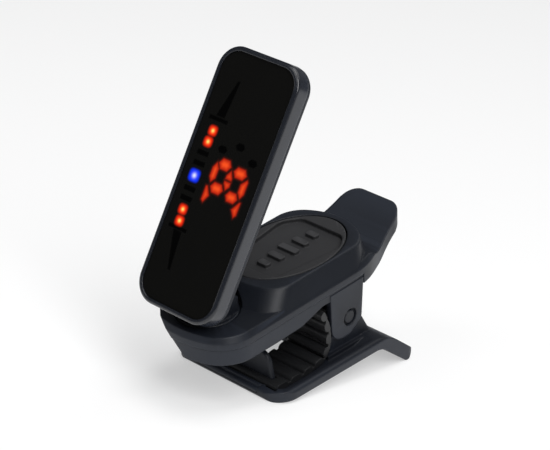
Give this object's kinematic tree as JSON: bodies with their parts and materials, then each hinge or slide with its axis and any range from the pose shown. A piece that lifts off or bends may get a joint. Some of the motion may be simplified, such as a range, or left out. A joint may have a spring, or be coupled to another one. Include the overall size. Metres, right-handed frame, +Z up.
{
  "type": "clip-on tuner",
  "caption": "Sprung clip with ribbed rubber jaw, battery pod and thumb tab, carrying a tilting and swivelling display head for an instrument headstock.",
  "frame": {"origin": "on the surface it stands on, under the middle of its bounding box", "axes": "+Z up as it stands on its front edge and lever tip, -Y towards the nose of the clip and the display's face, +X to the display's right seen from the front"},
  "size_m": [0.04, 0.0792, 0.0892],
  "materials": {
    "arm_plastic": "finely textured slate-black moulded plastic",
    "cover_plastic": "fine sparked texture, warm dark grey",
    "pin_plastic": "satin dark plastic",
    "head_plastic": "semi-gloss blue-black plastic",
    "rear_plastic": "satin blue-black plastic",
    "button_plastic": "satin black plastic",
    "lens_black": "smoked glossy acrylic",
    "grip_rubber": "soft matt black rubber",
    "spring_steel": "plain steel wire",
    "screw_steel": "blackened steel",
    "cell_steel": "bright nickelled steel can",
    "contact_metal": "nickelled spring sheet",
    "sensor_brass": "brass disc with ceramic face",
    "board_green": "green glass-epoxy board",
    "mask_black": "matt black display mask",
    "lamp_red": "lit orange-red light pipes",
    "chip_black": "moulded chip package"
  },
  "bodies": {
    "lower_jaw": {"lower_arm": "arm_plastic", "front_lip": "arm_plastic", "grip_strip": "grip_rubber", "pivot_pin": "pin_plastic", "torsion_spring": "spring_steel"},
    "upper_jaw": {"arm_bottom_shell": "arm_plastic", "arm_top_shell": "arm_plastic", "upper_pad": "grip_rubber", "arm_screws": "screw_steel", "coin_cell": "cell_steel", "contact_minus": "contact_metal", "contact_plus": "contact_metal", "piezo_sensor": "sensor_brass"},
    "cover": {"battery_cover": "cover_plastic"},
    "swivel": {"swivel_disc": "arm_plastic", "hinge_pin": "spring_steel", "spring_washer": "spring_steel", "retaining_washer": "spring_steel", "swivel_screw": "screw_steel"},
    "head": {"head_front_frame": "head_plastic", "lens": "lens_black", "rear_cover": "rear_plastic", "head_screws": "screw_steel", "circuit_board": "board_green", "segment_mask": "mask_black", "note_display": "lamp_red", "meter_lights": "lamp_red", "controller_chip": "chip_black", "tact_switches": "contact_metal"},
    "power_key": {"power_button": "button_plastic"},
    "flat_key": {"flat_button": "button_plastic"},
    "mode_key": {"mode_button": "button_plastic"}
  },
  "joints": [
    {"name": "jaw_hinge", "type": "hinge", "parent": "lower_jaw", "child": "upper_jaw", "pos_m": [0, 0.01362, 0.01705], "axis": [-1, 0, 0], "range_deg": [0, 30], "stiffness_Nm_per_rad": 0.12, "springref_deg": -40.11, "deforming": ["grip_strip", "torsion_spring"]},
    {"name": "cover_lift", "type": "slide", "parent": "upper_jaw", "child": "cover", "axis": [0, -0.2201, 0.9755], "range_m": [0, 0.0024]},
    {"name": "head_swivel", "type": "hinge", "parent": "upper_jaw", "child": "swivel", "pos_m": [0, -0.02563, 0.02269], "axis": [0, -0.2201, 0.9755], "range_deg": [-55, 55]},
    {"name": "head_tilt", "type": "hinge", "parent": "swivel", "child": "head", "pos_m": [0, -0.02899, 0.0266], "axis": [-1, 0, 0], "range_deg": [-18, 54]},
    {"name": "power_press", "type": "slide", "parent": "head", "child": "power_key", "axis": [0, -0.933, 0.3598], "range_m": [0, 0.0004], "stiffness_N_per_m": 600, "springref_m": -0.0005},
    {"name": "flat_press", "type": "slide", "parent": "head", "child": "flat_key", "axis": [0, -0.933, 0.3598], "range_m": [0, 0.0004], "stiffness_N_per_m": 600, "springref_m": -0.0005},
    {"name": "mode_press", "type": "slide", "parent": "head", "child": "mode_key", "axis": [0, -0.933, 0.3598], "range_m": [0, 0.0004], "stiffness_N_per_m": 600, "springref_m": -0.0005}
  ]
}
